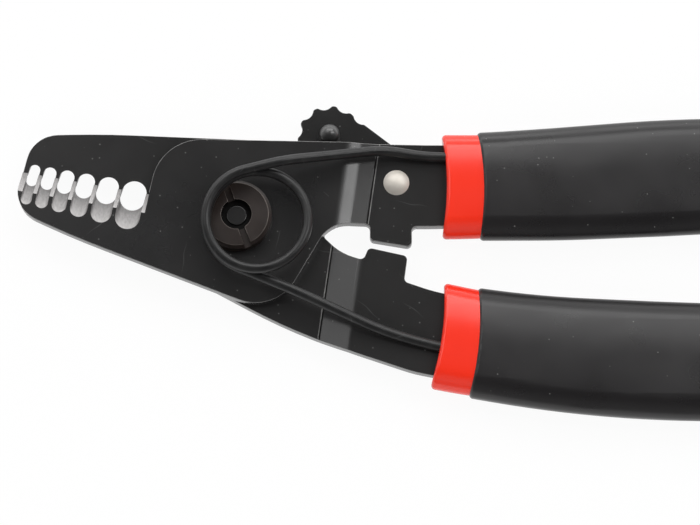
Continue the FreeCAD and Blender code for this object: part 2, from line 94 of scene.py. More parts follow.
def makeSpecks():
    # dust: one cell in a few holds a round speck
    group, given, result = newGroup(
        "dustSpecks", {"Scale": 700.0, "Size": 0.08, "Share": 0.1}, "Mask")
    cells = addNode(group, "ShaderNodeTexVoronoi")
    near = addNode(group, "ShaderNodeMapRange", {"To Min": 1.0, "To Max": 0.0})
    red = addNode(group, "ShaderNodeSeparateColor")
    chosen = addNode(group, "ShaderNodeMath", operation="LESS_THAN")
    both = addNode(group, "ShaderNodeMath", operation="MULTIPLY")
    join(group, given.outputs["Vector"], cells.inputs["Vector"])
    join(group, given.outputs["Scale"], cells.inputs["Scale"])
    join(group, cells.outputs["Distance"], near.inputs["Value"])
    join(group, given.outputs["Size"], near.inputs["From Max"])
    join(group, cells.outputs["Color"], red.inputs["Color"])
    join(group, red.outputs["Red"], chosen.inputs[0])
    join(group, given.outputs["Share"], chosen.inputs[1])
    join(group, near.outputs["Result"], both.inputs[0])
    join(group, chosen.outputs["Value"], both.inputs[1])
    join(group, both.outputs["Value"], result.inputs["Mask"])
    return group


def makeScratches():
    # hair lines: in some cells one short, slightly bent line at the cell's own angle
    group, given, result = newGroup(
        "hairScratches", {"Scale": 120.0, "Length": 0.3, "Width": 0.01, "Share": 0.2}, "Mask")
    warp = addNode(group, "ShaderNodeTexNoise", {"Scale": 150.0, "Detail": 1.0})
    bend = addNode(group, "ShaderNodeVectorMath", {"Scale": 0.003}, operation="SCALE")
    bent = addNode(group, "ShaderNodeVectorMath", operation="ADD")
    cells = addNode(group, "ShaderNodeTexVoronoi")
    local = addNode(group, "ShaderNodeVectorMath", operation="SUBTRACT")
    inCells = addNode(group, "ShaderNodeVectorMath", operation="SCALE")
    chance = addNode(group, "ShaderNodeSeparateColor")
    angle = addNode(group, "ShaderNodeMath", {1: 2.0 * math.pi}, operation="MULTIPLY")
    turned = addNode(group, "ShaderNodeVectorRotate", rotation_type="Z_AXIS")
    split = addNode(group, "ShaderNodeSeparateXYZ")
    along = addNode(group, "ShaderNodeMath", operation="ABSOLUTE")
    across = addNode(group, "ShaderNodeMath", operation="ABSOLUTE")
    short = addNode(group, "ShaderNodeMapRange", {"To Min": 1.0, "To Max": 0.0})
    thin = addNode(group, "ShaderNodeMapRange", {"To Min": 1.0, "To Max": 0.0})
    chosen = addNode(group, "ShaderNodeMath", operation="LESS_THAN")
    line = addNode(group, "ShaderNodeMath", operation="MULTIPLY")
    both = addNode(group, "ShaderNodeMath", operation="MULTIPLY")
    join(group, given.outputs["Vector"], warp.inputs["Vector"])
    join(group, warp.outputs["Color"], bend.inputs[0])
    join(group, given.outputs["Vector"], bent.inputs[0])
    join(group, bend.outputs["Vector"], bent.inputs[1])
    join(group, bent.outputs["Vector"], cells.inputs["Vector"])
    join(group, given.outputs["Scale"], cells.inputs["Scale"])
    join(group, bent.outputs["Vector"], local.inputs[0])
    join(group, cells.outputs["Position"], local.inputs[1])
    join(group, local.outputs["Vector"], inCells.inputs[0])
    join(group, given.outputs["Scale"], inCells.inputs["Scale"])
    join(group, cells.outputs["Color"], chance.inputs["Color"])
    join(group, chance.outputs["Green"], angle.inputs[0])
    join(group, inCells.outputs["Vector"], turned.inputs["Vector"])
    join(group, angle.outputs["Value"], turned.inputs["Angle"])
    join(group, turned.outputs["Vector"], split.inputs["Vector"])
    join(group, split.outputs["X"], along.inputs[0])
    join(group, split.outputs["Y"], across.inputs[0])
    join(group, along.outputs["Value"], short.inputs["Value"])
    join(group, given.outputs["Length"], short.inputs["From Max"])
    join(group, across.outputs["Value"], thin.inputs["Value"])
    join(group, given.outputs["Width"], thin.inputs["From Max"])
    join(group, chance.outputs["Red"], chosen.inputs[0])
    join(group, given.outputs["Share"], chosen.inputs[1])
    join(group, short.outputs["Result"], line.inputs[0])
    join(group, thin.outputs["Result"], line.inputs[1])
    join(group, line.outputs["Value"], both.inputs[0])
    join(group, chosen.outputs["Value"], both.inputs[1])
    join(group, both.outputs["Value"], result.inputs["Mask"])
    return group


def makeMottle():
    # slow change between two values
    group, given, result = newGroup(
        "softMottle", {"Scale": 60.0, "Low": 0.2, "High": 0.3}, "Value")
    cloud = addNode(group, "ShaderNodeTexNoise", {"Detail": 4.0, "Roughness": 0.55})
    spread = addNode(group, "ShaderNodeMapRange", {"From Min": 0.3, "From Max": 0.7})
    join(group, given.outputs["Vector"], cloud.inputs["Vector"])
    join(group, given.outputs["Scale"], cloud.inputs["Scale"])
    join(group, cloud.outputs["Fac"], spread.inputs["Value"])
    join(group, given.outputs["Low"], spread.inputs["To Min"])
    join(group, given.outputs["High"], spread.inputs["To Max"])
    join(group, spread.outputs["Result"], result.inputs["Value"])
    return group


specks = makeSpecks()
scratches = makeScratches()
mottle = makeMottle()
print("shared effects made")


# finishes

def newFinish(name, metallic=0.0, ior=1.5):
    material = bpy.data.materials.new(name)
    material.use_nodes = True
    tree = material.node_tree
    shader = tree.nodes["Principled BSDF"]
    shader.inputs["Metallic"].default_value = metallic
    shader.inputs["IOR"].default_value = ior
    coords = addNode(tree, "ShaderNodeTexCoord").outputs["Object"]
    return material, tree, shader, coords


def useGroup(tree, group, coords, values):
    made = addNode(tree, "ShaderNodeGroup", node_tree=group)
    for socket, value in values.items():
        made.inputs[socket].default_value = value
    join(tree, coords, made.inputs["Vector"])
    return made.outputs[0]


def tint(tree, mask, first, second):
    # first colour where the mask is 0, second where it is 1; either may be a node's output
    mix = addNode(tree, "ShaderNodeMix", data_type="RGBA")
    for socket, colour in ((6, first), (7, second)):        # the node's two colour sockets
        if isinstance(colour, tuple):
            mix.inputs[socket].default_value = colour + (1.0,)
        else:
            join(tree, colour, mix.inputs[socket])
    join(tree, mask, mix.inputs[0])
    return mix.outputs[2]


def warmGrey(value):
    # a grey with a little less green and blue
    return (value, value * 0.97, value * 0.962)


def grain(tree, shader, coords, scale, depth, detail=2.0):
    # fine unevenness, depth in millimetres
    cloud = addNode(tree, "ShaderNodeTexNoise", {"Scale": scale, "Detail": detail})
    bump = addNode(tree, "ShaderNodeBump", {"Strength": 1.0, "Distance": depth * mm})
    join(tree, coords, cloud.inputs["Vector"])
    join(tree, cloud.outputs["Fac"], bump.inputs["Height"])
    join(tree, bump.outputs["Normal"], shader.inputs["Normal"])


def makeBlackSteel():
    # blackened sheet: even and satin, with dust and a few hair scratches
    material, tree, shader, coords = newFinish("blackSteel", ior=1.55)
    dust = useGroup(tree, specks, coords, {"Scale": 640.0, "Size": 0.13, "Share": 0.42})
    lines = useGroup(tree, scratches, coords,
                     {"Scale": 110.0, "Length": 0.36, "Width": 0.012, "Share": 0.3})
    shade = useGroup(tree, mottle, coords, {"Scale": 45.0, "Low": 0.0, "High": 1.0})
    colour = tint(tree, shade, (0.0155, 0.0152, 0.0156), (0.0195, 0.019, 0.0188))
    colour = tint(tree, lines, colour, (0.06, 0.06, 0.06))
    colour = tint(tree, dust, colour, (0.16, 0.16, 0.155))
    join(tree, colour, shader.inputs["Base Color"])
    rough = useGroup(tree, mottle, coords, {"Scale": 110.0, "Low": 0.17, "High": 0.22})
    join(tree, rough, shader.inputs["Roughness"])
    grain(tree, shader, coords, 4000.0, 0.001)
    return material


def makeWornEdgeAndHighlight():
    # sheared rim where the black has rubbed off, its lightness partly a painted highlight; the same
    # finish is the painted highlight beside the groove at a bend
    material, tree, shader, coords = newFinish("wornEdgeAndHighlight", metallic=0.75)
    shade = useGroup(tree, mottle, coords, {"Scale": 500.0, "Low": 0.0, "High": 1.0})
    colour = tint(tree, shade, (0.12, 0.12, 0.12), (0.26, 0.255, 0.25))
    join(tree, colour, shader.inputs["Base Color"])
    rough = useGroup(tree, mottle, coords, {"Scale": 700.0, "Low": 0.3, "High": 0.5})
    join(tree, rough, shader.inputs["Roughness"])
    grain(tree, shader, coords, 3000.0, 0.004)
    return material


groundSheet = {
    "slidingLevel": 4.6,                    # height at which the blades slide on each other
    "shadedTo": 0.2,                          # distance from there up to which a ground face has the full painted shade; the next value is where it has faded out
    "unshadedFrom": 2.4,
    "markLength": 0.12,                     # wheel marks run along Y, the smaller the longer
}


def makeGroundSteel(name, shadedGreys, unshadedGreys):
    # bare ground bevels with fine marks of the wheel, with painted shade that darkens them towards
    # the sliding face, deep in each notch
    material, tree, shader, coords = newFinish(name, metallic=0.6)
    drawn = addNode(tree, "ShaderNodeMapping", {"Scale": (1.0, groundSheet["markLength"], 1.0)})
    join(tree, coords, drawn.inputs["Vector"])
    marks = useGroup(tree, mottle, drawn.outputs["Vector"],
                     {"Scale": 2400.0, "Low": 0.0, "High": 1.0})
    split = addNode(tree, "ShaderNodeSeparateXYZ")
    level = addNode(tree, "ShaderNodeMath", {1: groundSheet["slidingLevel"] * mm},
                    operation="SUBTRACT")
    depth = addNode(tree, "ShaderNodeMath", operation="ABSOLUTE")
    fade = addNode(tree, "ShaderNodeMapRange", {
        "From Min": groundSheet["shadedTo"] * mm, "From Max": groundSheet["unshadedFrom"] * mm,
    })
    join(tree, coords, split.inputs["Vector"])
    join(tree, split.outputs["Z"], level.inputs[0])
    join(tree, level.outputs["Value"], depth.inputs[0])
    join(tree, depth.outputs["Value"], fade.inputs["Value"])
    # painted shade: the first greys, near the sliding face, stand in for the shade deep in each
    # notch
    near = tint(tree, marks, *(warmGrey(value) for value in shadedGreys))
    outer = tint(tree, marks, *(warmGrey(value) for value in unshadedGreys))
    join(tree, tint(tree, fade.outputs["Result"], near, outer), shader.inputs["Base Color"])
    rough = useGroup(tree, mottle, drawn.outputs["Vector"],
                     {"Scale": 1800.0, "Low": 0.34, "High": 0.48})
    join(tree, rough, shader.inputs["Roughness"])
    grain(tree, shader, drawn.outputs["Vector"], 3000.0, 0.006)
    return material


def makeBoltSteel():
    # oil-blackened, a little brown
    material, tree, shader, coords = newFinish("boltSteel", metallic=0.2)
    shade = useGroup(tree, mottle, coords, {"Scale": 160.0, "Low": 0.0, "High": 1.0})
    dust = useGroup(tree, specks, coords, {"Scale": 900.0, "Size": 0.1, "Share": 0.06})
    colour = tint(tree, shade, (0.016, 0.0105, 0.0088), (0.026, 0.0172, 0.0138))
    colour = tint(tree, dust, colour, (0.12, 0.1, 0.09))
    join(tree, colour, shader.inputs["Base Color"])
    rough = useGroup(tree, mottle, coords, {"Scale": 260.0, "Low": 0.28, "High": 0.42})
    join(tree, rough, shader.inputs["Roughness"])
    grain(tree, shader, coords, 3500.0, 0.003)
    return material


def makeStudBlack():
    # smooth black dome
    material, tree, shader, coords = newFinish("studBlack", ior=1.85)
    shade = useGroup(tree, mottle, coords, {"Scale": 220.0, "Low": 0.0, "High": 1.0})
    dust = useGroup(tree, specks, coords, {"Scale": 1100.0, "Size": 0.12, "Share": 0.1})
    colour = tint(tree, shade, (0.014, 0.0138, 0.0138), (0.022, 0.0216, 0.0214))
    colour = tint(tree, dust, colour, (0.14, 0.14, 0.14))
    join(tree, colour, shader.inputs["Base Color"])
    rough = useGroup(tree, mottle, coords, {"Scale": 260.0, "Low": 0.28, "High": 0.35})
    join(tree, rough, shader.inputs["Roughness"])
    grain(tree, shader, coords, 3500.0, 0.002)
    return material


def makePaintedShade():
    # painted shade: near-black for the nut's recess and the groove beside a bend
    material, tree, shader, coords = newFinish("paintedShadeBlack")
    shader.inputs["Specular IOR Level"].default_value = 0.1
    shade = useGroup(tree, mottle, coords, {"Scale": 400.0, "Low": 0.0, "High": 1.0})
    colour = tint(tree, shade, (0.0015, 0.0014, 0.0013), (0.004, 0.0036, 0.0033))
    join(tree, colour, shader.inputs["Base Color"])
    rough = useGroup(tree, mottle, coords, {"Scale": 300.0, "Low": 0.5, "High": 0.7})
    join(tree, rough, shader.inputs["Roughness"])
    return material


def makeNutRimHighlight():
    # painted highlight: a thin lighter brown line along the nut's top rim
    material, tree, shader, coords = newFinish("nutRimHighlight", metallic=0.6)
    shade = useGroup(tree, mottle, coords, {"Scale": 350.0, "Low": 0.0, "High": 1.0})
    colour = tint(tree, shade, (0.05, 0.042, 0.037), (0.19, 0.165, 0.15))
    join(tree, colour, shader.inputs["Base Color"])
    rough = useGroup(tree, mottle, coords, {"Scale": 500.0, "Low": 0.25, "High": 0.45})
    join(tree, rough, shader.inputs["Roughness"])
    return material


def makeSpringWire():
    # black wire, rubbed in patches, with hair lines
    material, tree, shader, coords = newFinish("springWire")
    shader.inputs["Specular IOR Level"].default_value = 0.42
    rubbed = useGroup(tree, mottle, coords, {"Scale": 420.0, "Low": 0.0, "High": 1.0})
    lines = useGroup(tree, scratches, coords,
                     {"Scale": 420.0, "Length": 0.4, "Width": 0.05, "Share": 0.3})
    colour = tint(tree, rubbed, (0.009, 0.009, 0.0094), (0.018, 0.0178, 0.0178))
    colour = tint(tree, lines, colour, (0.05, 0.05, 0.05))
    join(tree, colour, shader.inputs["Base Color"])
    rough = useGroup(tree, mottle, coords, {"Scale": 300.0, "Low": 0.27, "High": 0.39})
    join(tree, rough, shader.inputs["Roughness"])
    grain(tree, shader, coords, 2500.0, 0.004)
    return material


def makeNickel():
    # plated rivet, slightly warm
    material, tree, shader, coords = newFinish("nickel", metallic=0.75)
    shade = useGroup(tree, mottle, coords, {"Scale": 300.0, "Low": 0.0, "High": 1.0})
    colour = tint(tree, shade, (0.66, 0.62, 0.56), (0.74, 0.7, 0.64))
    join(tree, colour, shader.inputs["Base Color"])
    rough = useGroup(tree, mottle, coords, {"Scale": 420.0, "Low": 0.54, "High": 0.62})
    join(tree, rough, shader.inputs["Roughness"])
    grain(tree, shader, coords, 900.0, 0.006)
    return material


def makeRedVinyl():
    # thick glossy dip
    material, tree, shader, coords = newFinish("redVinyl")
    shader.inputs["Specular IOR Level"].default_value = 0.0
    shader.inputs["Coat Weight"].default_value = 1.0
    shader.inputs["Coat IOR"].default_value = 1.55
    shader.inputs["Coat Roughness"].default_value = 0.2
    shade = useGroup(tree, mottle, coords, {"Scale": 40.0, "Low": 0.0, "High": 1.0})
    dust = useGroup(tree, specks, coords, {"Scale": 500.0, "Size": 0.07, "Share": 0.05})
    colour = tint(tree, shade, (0.88, 0.026, 0.009), (0.92, 0.034, 0.013))
    colour = tint(tree, dust, colour, (0.9, 0.3, 0.25))
    join(tree, colour, shader.inputs["Base Color"])
    rough = useGroup(tree, mottle, coords, {"Scale": 120.0, "Low": 0.16, "High": 0.26})
    join(tree, rough, shader.inputs["Roughness"])
    grain(tree, shader, coords, 260.0, 0.02, 1.0)
    return material


def makeBlackVinyl():
    # soft semi-gloss dip with dust
    material, tree, shader, coords = newFinish("blackVinyl")
    shade = useGroup(tree, mottle, coords, {"Scale": 30.0, "Low": 0.0, "High": 1.0})
    dust = useGroup(tree, specks, coords, {"Scale": 600.0, "Size": 0.1, "Share": 0.34})
    colour = tint(tree, shade, (0.0102, 0.0094, 0.0101), (0.0148, 0.0136, 0.0142))
    colour = tint(tree, dust, colour, (0.26, 0.26, 0.25))
    join(tree, colour, shader.inputs["Base Color"])
    rough = useGroup(tree, mottle, coords, {"Scale": 90.0, "Low": 0.25, "High": 0.34})
    join(tree, rough, shader.inputs["Roughness"])
    grain(tree, shader, coords, 160.0, 0.03, 1.0)
    return material


finishes = {
    "blackSteel": makeBlackSteel(),
    "wornEdgeAndHighlight": makeWornEdgeAndHighlight(),
    # ground finishes: the first pair of greys holds the painted shade near the sliding face
    "groundSteel": makeGroundSteel("groundSteel", (0.15, 0.21), (0.33, 0.45)),
    # the lands' finish is the ground one made lighter: painted highlight
    "landSteelHighlight": makeGroundSteel("landSteelHighlight", (0.2, 0.26), (0.36, 0.46)),
    "boltSteel": makeBoltSteel(),
    "studBlack": makeStudBlack(),
    "paintedShadeBlack": makePaintedShade(),
    "nutRimHighlight": makeNutRimHighlight(),
    "springWire": makeSpringWire(),
    "nickel": makeNickel(),
    "redVinyl": makeRedVinyl(),
    "blackVinyl": makeBlackVinyl(),
}
print("finishes made:", ", ".join(finishes))


# modelling

weld = 0.001                                # points nearer than this are made one
# a normal's Z: above it a face is flat, bent or level, below it sloped or a wall
facing = {"flat": 0.99999, "bent": 0.99, "sloped": 0.97, "level": 0.9, "wall": 0.3}


def cadCopy(node, name, finishNames):
    # a CAD node's triangles are loose, so its copy is merged before it is worked on
    piece = bpy.data.objects.new(name, frame["nodes"][node].data.copy())
    bpy.context.scene.collection.objects.link(piece)
    takeOnly(piece)
    bpy.ops.mesh.customdata_custom_splitnormals_clear()
    bpy.ops.object.mode_set(mode="EDIT")
    bpy.ops.mesh.select_all(action="SELECT")
    bpy.ops.mesh.remove_doubles(threshold=weld * mm)
    bpy.ops.object.mode_set(mode="OBJECT")
    piece.data.materials.clear()
    for finish in finishNames:
        piece.data.materials.append(finishes[finish])
    return piece


def flattenFaces(angle=0.2):
    # joins the triangles of each flat face, angle in degrees
    bpy.ops.object.mode_set(mode="EDIT")
    bpy.ops.mesh.select_all(action="SELECT")
    bpy.ops.mesh.dissolve_limited(angle_limit=math.radians(angle))
    bpy.ops.object.mode_set(mode="OBJECT")


def bevelEdges(piece, wanted, width, finishIndex=-1, steps=2):
    # wanted says of each edge between two faces whether it is rounded; -1 keeps the finish
    bpy.ops.object.mode_set(mode="EDIT")
    bpy.ops.mesh.select_mode(type="EDGE")
    bpy.ops.mesh.select_all(action="DESELECT")
    edit = bmesh.from_edit_mesh(piece.data)
    for edge in edit.edges:
        if len(edge.link_faces) == 2 and wanted(edge):
            edge.select = True
    bmesh.update_edit_mesh(piece.data)
    bpy.ops.mesh.bevel(offset=width * mm, segments=steps, affect="EDGES",
                       material=finishIndex, clamp_overlap=True)
    bpy.ops.object.mode_set(mode="OBJECT")


def smoothFaces(piece, angle=32.0):
    takeOnly(piece)
    bpy.ops.object.shade_smooth_by_angle(angle=math.radians(angle))
    weighted = piece.modifiers.new("weighted", "WEIGHTED_NORMAL")
    weighted.keep_sharp = True
    bpy.ops.object.modifier_apply(modifier=weighted.name)


def placePiece(piece, node):
    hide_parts(node)
    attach(piece, bodyOf[node])
    print(piece.name, len(piece.data.polygons), "faces")


def isRim(edge):
    # where a level face meets a wall
    first, second = (abs(face.normal.z) for face in edge.link_faces)
    return max(first, second) > facing["level"] and min(first, second) < facing["wall"]


# blades

# tilt is the slant of the row of notches and side the way its flutes run,
# foot is the X at which the bend runs out and outward the way from there on to the flat
blades = {
    "frontBlade": {"node": "front_blade", "tilt": 10.3, "side": -1, "foot": 27.0, "outward": 1},
    "rearBlade": {"node": "rear_blade", "tilt": 13.5, "side": 1, "foot": 17.9, "outward": -1},
}
bladeFinishes = ("blackSteel", "wornEdgeAndHighlight", "groundSteel", "landSteelHighlight", "paintedShadeBlack")
sheetRim = 0.16                             # width of the rubbed rim round each sheet, its light finish partly a painted highlight
rowOfNotches = {
    "offset": 0.75,                         # from the pivot to the row
    "start": 18.1,                          # along the row from the pivot
    "end": 44.3,
    "nose": 43.4,
    "low": -1.8,                            # away from the row
    "high": 7.5,
    "land": 2.4,                            # square millimetres; a larger ground face is a land
    "noseTurn": 0.2,                        # how far a wall past the nose faces outward
}
scoredLine = {
    "search": 0.3,                          # how far from foot the bend's edge may be
    "start": 0.02,                          # across the groove, from that edge
    "dark": 0.3,
    "light": 0.5,
    "sunk": 0.05,
    "near": 0.002,                          # a point this near the groove's middle line sinks
    "sameLevel": 0.01,
}


def rowPlace(point, blade):
    # distance along the row of notches and away from it, in millimetres
    tilt = math.radians(blade["tilt"])
    along = point.x * math.cos(tilt) - point.y * math.sin(tilt)
    across = point.x * math.sin(tilt) + point.y * math.cos(tilt)
    return -along / mm, blade["side"] * (across / mm - rowOfNotches["offset"])


def onRow(point, blade):
    reach, height = rowPlace(point, blade)
    inside = rowOfNotches["start"] < reach < rowOfNotches["end"]
    return inside and rowOfNotches["low"] < height < rowOfNotches["high"]


def onNose(face, blade):
    # the jaw's outer wall past the last notch
    tilt = math.radians(blade["tilt"])
    outward = -face.normal.x * math.cos(tilt) + face.normal.y * math.sin(tilt)
    past = rowPlace(face.center, blade)[0] > rowOfNotches["nose"]
    return past and outward > rowOfNotches["noseTurn"]


def grindRow(piece, blade):
    # bare flutes, and lands between them in a lighter copy of the ground finish, a painted
    # highlight
    flute, land = bladeFinishes.index("groundSteel"), bladeFinishes.index("landSteelHighlight")
    for face in piece.data.polygons:
        sloped = abs(face.normal.z) < facing["sloped"]
        if sloped and onRow(face.center, blade) and not onNose(face, blade):
            face.material_index = land if face.area > rowOfNotches["land"] * mm * mm else flute


def footOfBend(piece, blade):
    # a point of the line where the bend runs out on the upper side, and the way on to the flat
    longest = None
    edit = bmesh.new()
    edit.from_mesh(piece.data)
    for edge in edit.edges:
        middle = (edge.verts[0].co + edge.verts[1].co) / 2
        away = abs(middle.x - blade["foot"] * mm)
        if away > scoredLine["search"] * mm or len(edge.link_faces) != 2:
            continue
        lower, upper = sorted(face.normal.z for face in edge.link_faces)
        if upper > facing["flat"] and facing["bent"] < lower < facing["flat"]:
            if longest is None or edge.calc_length() > longest[2]:
                longest = (edge.verts[0].co.copy(), edge.verts[1].co.copy(), edge.calc_length())
    edit.free()
    if longest is None:
        return None, None
    run = longest[1] - longest[0]
    across = Vector((run.y, -run.x, 0.0)).normalized()
    return longest[0], across * (1 if across.x * blade["outward"] > 0 else -1)


def scoreFoot(piece, blade):
    # the press leaves a fine groove beside the foot of the bend; its dark strip is painted shade
    # and its bright far side a painted highlight
    place, across = footOfBend(piece, blade)
    if place is None:
        print(piece.name, "has no foot of a bend at", blade["foot"])
        return
    start, dark, light = (scoredLine[step] for step in ("start", "dark", "light"))
    bpy.ops.object.mode_set(mode="EDIT")
    bpy.ops.mesh.select_mode(type="FACE")
    for step in (start, dark, light):
        bpy.ops.mesh.select_all(action="DESELECT")
        edit = bmesh.from_edit_mesh(piece.data)
        for face in edit.faces:
            face.select_set(face.normal.z > facing["flat"])
        bmesh.update_edit_mesh(piece.data)
        bpy.ops.mesh.bisect(plane_co=place + across * step * mm, plane_no=across)
    bpy.ops.object.mode_set(mode="OBJECT")
    # painted shade on the groove's first strip, painted highlight on its far side
    for face in piece.data.polygons:
        reach = (face.center - place).dot(across) / mm
        if face.normal.z > facing["flat"] and start < reach < light:
            face.material_index = bladeFinishes.index("paintedShadeBlack" if reach < dark else "wornEdgeAndHighlight")
    for vert in piece.data.vertices:
        reach = (vert.co - place).dot(across) / mm
        level = abs(vert.co.z - place.z) < scoredLine["sameLevel"] * mm
        if level and abs(reach - dark) < scoredLine["near"]:
            vert.co.z -= scoredLine["sunk"] * mm


def crispFlutes(piece):
    # keeps a sharp line where the ground faces meet the black ones
    bpy.ops.object.mode_set(mode="EDIT")
    bpy.ops.mesh.select_mode(type="EDGE")
    bpy.ops.mesh.select_all(action="DESELECT")
    bare = (bladeFinishes.index("groundSteel"), bladeFinishes.index("landSteelHighlight"))
    edit = bmesh.from_edit_mesh(piece.data)
    for edge in edit.edges:
        ground = [face.material_index in bare for face in edge.link_faces]
        edge.select_set(any(ground) and not all(ground))
    bmesh.update_edit_mesh(piece.data)
    bpy.ops.mesh.mark_sharp()
    bpy.ops.object.mode_set(mode="OBJECT")


def makeBlade(name, blade):
    piece = cadCopy(blade["node"], name, bladeFinishes)
    flattenFaces()
    grindRow(piece, blade)

    def outlineRim(edge):
        middle = (edge.verts[0].co + edge.verts[1].co) / 2
        return isRim(edge) and not onRow(middle, blade)

    # the rims take the worn finish, which is partly a painted highlight
    bevelEdges(piece, outlineRim, sheetRim, bladeFinishes.index("wornEdgeAndHighlight"))
    scoreFoot(piece, blade)
    crispFlutes(piece)
    smoothFaces(piece)
    placePiece(piece, blade["node"])


for bladeName, bladeSizes in blades.items():
    makeBlade(bladeName, bladeSizes)


# pivot and latch

smallPieces = {
    "pivotBolt": {"node": "pivot_bolt", "finish": "blackSteel", "rim": 0.2},
    "latchLever": {"node": "latch_lever", "finish": "blackSteel", "rim": 0.14},
    "latchStud": {"node": "latch_stud", "finish": "studBlack", "rim": 0.0},
    "latchRivet": {"node": "latch_rivet", "finish": "nickel", "rim": 0.0},
    "latchWasher": {"node": "latch_washer", "finish": "nickel", "rim": 0.06},
}


def makeSmallPiece(name, sizes):
    piece = cadCopy(sizes["node"], name, (sizes["finish"],))
    flattenFaces()
    if sizes["rim"]:
        bevelEdges(piece, isRim, sizes["rim"])
    smoothFaces(piece)
    placePiece(piece, sizes["node"])


for smallName, smallSizes in smallPieces.items():
    makeSmallPiece(smallName, smallSizes)

nut = {
    "node": "pivot_nut",
    "finishes": ("boltSteel", "nutRimHighlight", "paintedShadeBlack"),
    "rim": 0.09,
    "recess": 3.06,                         # radius round the bolt's end
    "skin": 0.05,                           # kept brown above the recess
    "corner": 0.5,                          # radians between faces at an edge that is rubbed
}


def makeNut():
    piece = cadCopy(nut["node"], "pivotNut", nut["finishes"])
    flattenFaces()
    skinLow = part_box(nut["node"])[1][2] - nut["skin"] * mm
    for face in piece.data.polygons:
        # painted shade: the recess round the bolt's end is made near-black
        if face.center.xy.length < nut["recess"] * mm and face.center.z < skinLow:
            face.material_index = nut["finishes"].index("paintedShadeBlack")

    def topEdge(edge):
        lowest = min(vert.co.z for vert in edge.verts)
        return lowest > skinLow and edge.calc_face_angle() > nut["corner"]

    # the bevelled top rim takes the painted highlight
    bevelEdges(piece, topEdge, nut["rim"], nut["finishes"].index("nutRimHighlight"))
    smoothFaces(piece)
    placePiece(piece, nut["node"])


makeNut()


# spring

spring = {
    "node": "torsion_spring",
    "quads": 40.0,                          # degrees between triangles that are joined
    "longest": 1.2,                         # edge length past which the wire is divided
    "rounds": 4,                            # how often it is divided
    "smooth": 50.0,
    "still": (0.0, 8.0, 0.0),               # not used: meant as the point up to which the wire follows the front blade
    "carried": (0.0, -12.5, 0.0),           # not used: meant as the point from which it follows the rear one
}


def makeSpring():
    piece = cadCopy(spring["node"], "torsionSpring", ("springWire",))
    bpy.ops.object.mode_set(mode="EDIT")
    bpy.ops.mesh.select_all(action="SELECT")
    joined = math.radians(spring["quads"])
    bpy.ops.mesh.tris_convert_to_quads(face_threshold=joined, shape_threshold=joined)
    for _ in range(spring["rounds"]):
        bpy.ops.mesh.select_mode(type="EDGE")
        bpy.ops.mesh.select_all(action="DESELECT")
        edit = bmesh.from_edit_mesh(piece.data)
        for edge in edit.edges:
            if edge.calc_length() > spring["longest"] * mm:
                edge.select = True
        bmesh.update_edit_mesh(piece.data)
        bpy.ops.mesh.subdivide(number_cuts=1)
    bpy.ops.object.mode_set(mode="OBJECT")
    smoothFaces(piece, spring["smooth"])
    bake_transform(piece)
    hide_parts(spring["node"])
    print(piece.name, len(piece.data.polygons), "faces")


makeSpring()


# handles

# mouth is where the slanted mouth ends and the handle has its whole width, crown and dent are
# shares of the thickness lost at the sides and in dents, lean moves the thick line towards -Y
handles = {
    "upperSleeve": {"node": "upper_sleeve", "finish": "redVinyl", "mouth": 43.0,
                    "crown": 0.3, "lean": 0.0, "dent": 0.0},
    "lowerSleeve": {"node": "lower_sleeve", "finish": "redVinyl", "mouth": 43.0,
                    "crown": 0.46, "lean": 0.25, "dent": 0.0},
    "upperGrip": {"node": "upper_grip", "finish": "blackVinyl", "mouth": 51.0,
                  "crown": 0.3, "lean": 0.0, "dent": 0.09},
    "lowerGrip": {"node": "lower_grip", "finish": "blackVinyl", "mouth": 51.0,
                  "crown": 0.46, "lean": 0.25, "dent": 0.09},
}
softForm = {
    "grid": 3.0,                            # between cuts
    "narrowest": 1.0,                       # a handle's width is taken as at least this
    "onCut": 0.001,                         # how near a point on a cut lies to it
    "dentSize": 15.0,
    "dentStart": 8.0,                       # dents grow over this length behind the mouth
    "smooth": 40.0,
}


def cutGrid(node):
    # cuts the flat faces into squares that can take a soft form
    low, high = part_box(node)
    step = softForm["grid"] * mm
    bpy.ops.object.mode_set(mode="EDIT")
    for axis, normal in ((0, (1, 0, 0)), (1, (0, 1, 0))):
        for count in range(math.ceil(low[axis] / step), math.ceil(high[axis] / step)):
            bpy.ops.mesh.select_all(action="SELECT")
            bpy.ops.mesh.bisect(plane_co=Vector(normal) * count * step, plane_no=normal)
    bpy.ops.object.mode_set(mode="OBJECT")


def sideLines(piece, mouth):
    # lowest and highest Y at each cut across the handle
    step = softForm["grid"] * mm
    sides = {}
    for vert in piece.data.vertices:
        count = round(vert.co.x / step)
        onCut = abs(vert.co.x - count * step) < softForm["onCut"] * mm
        if vert.co.x > mouth * mm and onCut:
            low, high = sides.get(count, (vert.co.y, vert.co.y))
            sides[count] = (min(low, vert.co.y), max(high, vert.co.y))
    return sides


